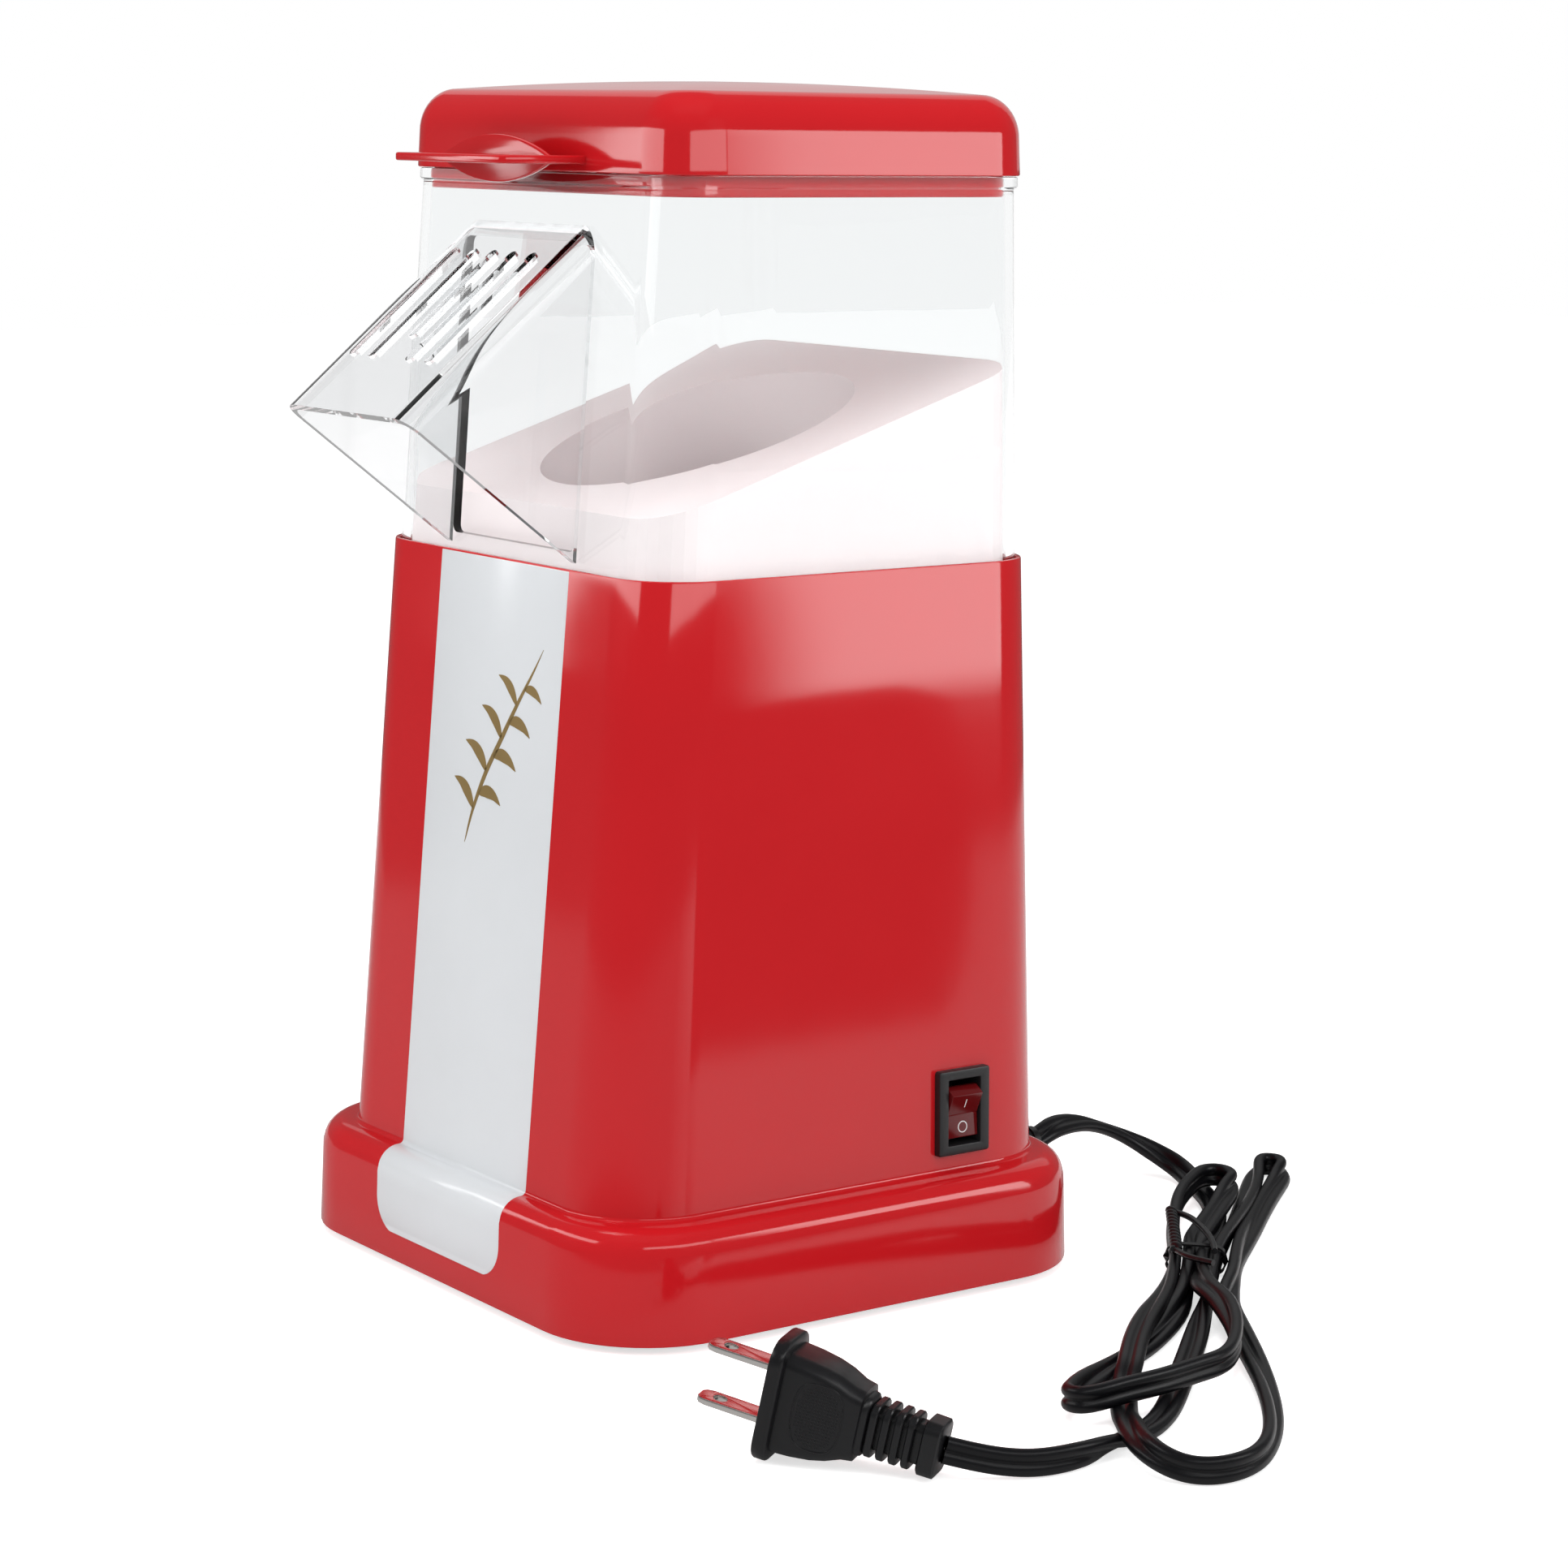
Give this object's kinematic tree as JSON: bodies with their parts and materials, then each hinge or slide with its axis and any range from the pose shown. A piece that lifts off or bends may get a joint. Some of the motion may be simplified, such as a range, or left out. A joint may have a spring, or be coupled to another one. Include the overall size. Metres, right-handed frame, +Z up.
{
  "type": "hot air popcorn maker",
  "caption": "Tall hot air popcorn maker with a tapered body on a plinth, clear hood with a pouring chute, lift-off lid with a tab, rocker switch and plug-in cord.",
  "frame": {"origin": "on the table under the vertical axis of the popping chamber, in the plane of the four feet", "axes": "+Z up along the chamber axis, -Y out of the front with the chute and the white panel, +X to the side with the switch"},
  "size_m": [0.3024, 0.2797, 0.302],
  "materials": {
    "red_housing": "gloss",
    "white_plastic": "gloss",
    "clear_plastic": "gloss",
    "black_plastic": "satin",
    "grey_plastic": "satin",
    "black_rubber": "satin",
    "cord_black": "gloss",
    "chamber_metal": "satin",
    "steel_parts": "satin",
    "plated_blades": "gloss",
    "brass_parts": "satin",
    "heater_wire": "satin",
    "mica_board": "satin",
    "fibre_seal": "matte",
    "green_board": "satin",
    "red_rocker": "gloss"
  },
  "bodies": {
    "base": {"main_housing": "red_housing", "front_panel": "white_plastic", "bottom_cover": "grey_plastic", "rubber_feet": "black_rubber", "cover_screws": "steel_parts", "inner_ramp": "white_plastic", "chamber_seal": "fibre_seal", "popping_chamber": "chamber_metal", "air_shroud": "steel_parts", "shroud_screws": "steel_parts", "mica_frame": "mica_board", "heater_coil": "heater_wire", "thermal_fuse": "chamber_metal", "thermostat": "black_plastic", "fan_duct": "grey_plastic", "motor_can": "steel_parts", "motor_end_cap": "black_plastic", "motor_screws": "steel_parts", "rectifier_board": "green_board", "diodes": "black_plastic", "switch_body": "black_plastic", "switch_terminals": "brass_parts", "strain_relief": "black_rubber", "power_cord": "cord_black", "plug_body": "black_plastic", "plug_blades": "plated_blades", "twist_tie": "cord_black"},
    "rotor": {"motor_shaft": "steel_parts", "fan_impeller": "chamber_metal", "fan_collar": "brass_parts"},
    "rocker": {"switch_rocker": "red_rocker"},
    "hood": {"hood_shell": "clear_plastic", "pour_chute": "clear_plastic"},
    "lid": {"lid": "red_housing"}
  },
  "joints": [
    {"name": "rotor_spin", "type": "hinge", "parent": "base", "child": "rotor", "pos_m": [0, 0, 0.058], "axis": [0, 0, 1], "continuous": true},
    {"name": "rocker_tilt", "type": "hinge", "parent": "base", "child": "rocker", "pos_m": [0.06645, 0.036, 0.04553], "axis": [0, -1, 0], "range_deg": [0, 22]},
    {"name": "hood_lift", "type": "slide", "parent": "base", "child": "hood", "axis": [0, 0, 1], "range_m": [0, 0.12]},
    {"name": "lid_lift", "type": "slide", "parent": "hood", "child": "lid", "axis": [0, 0, 1], "range_m": [0, 0.08]}
  ]
}
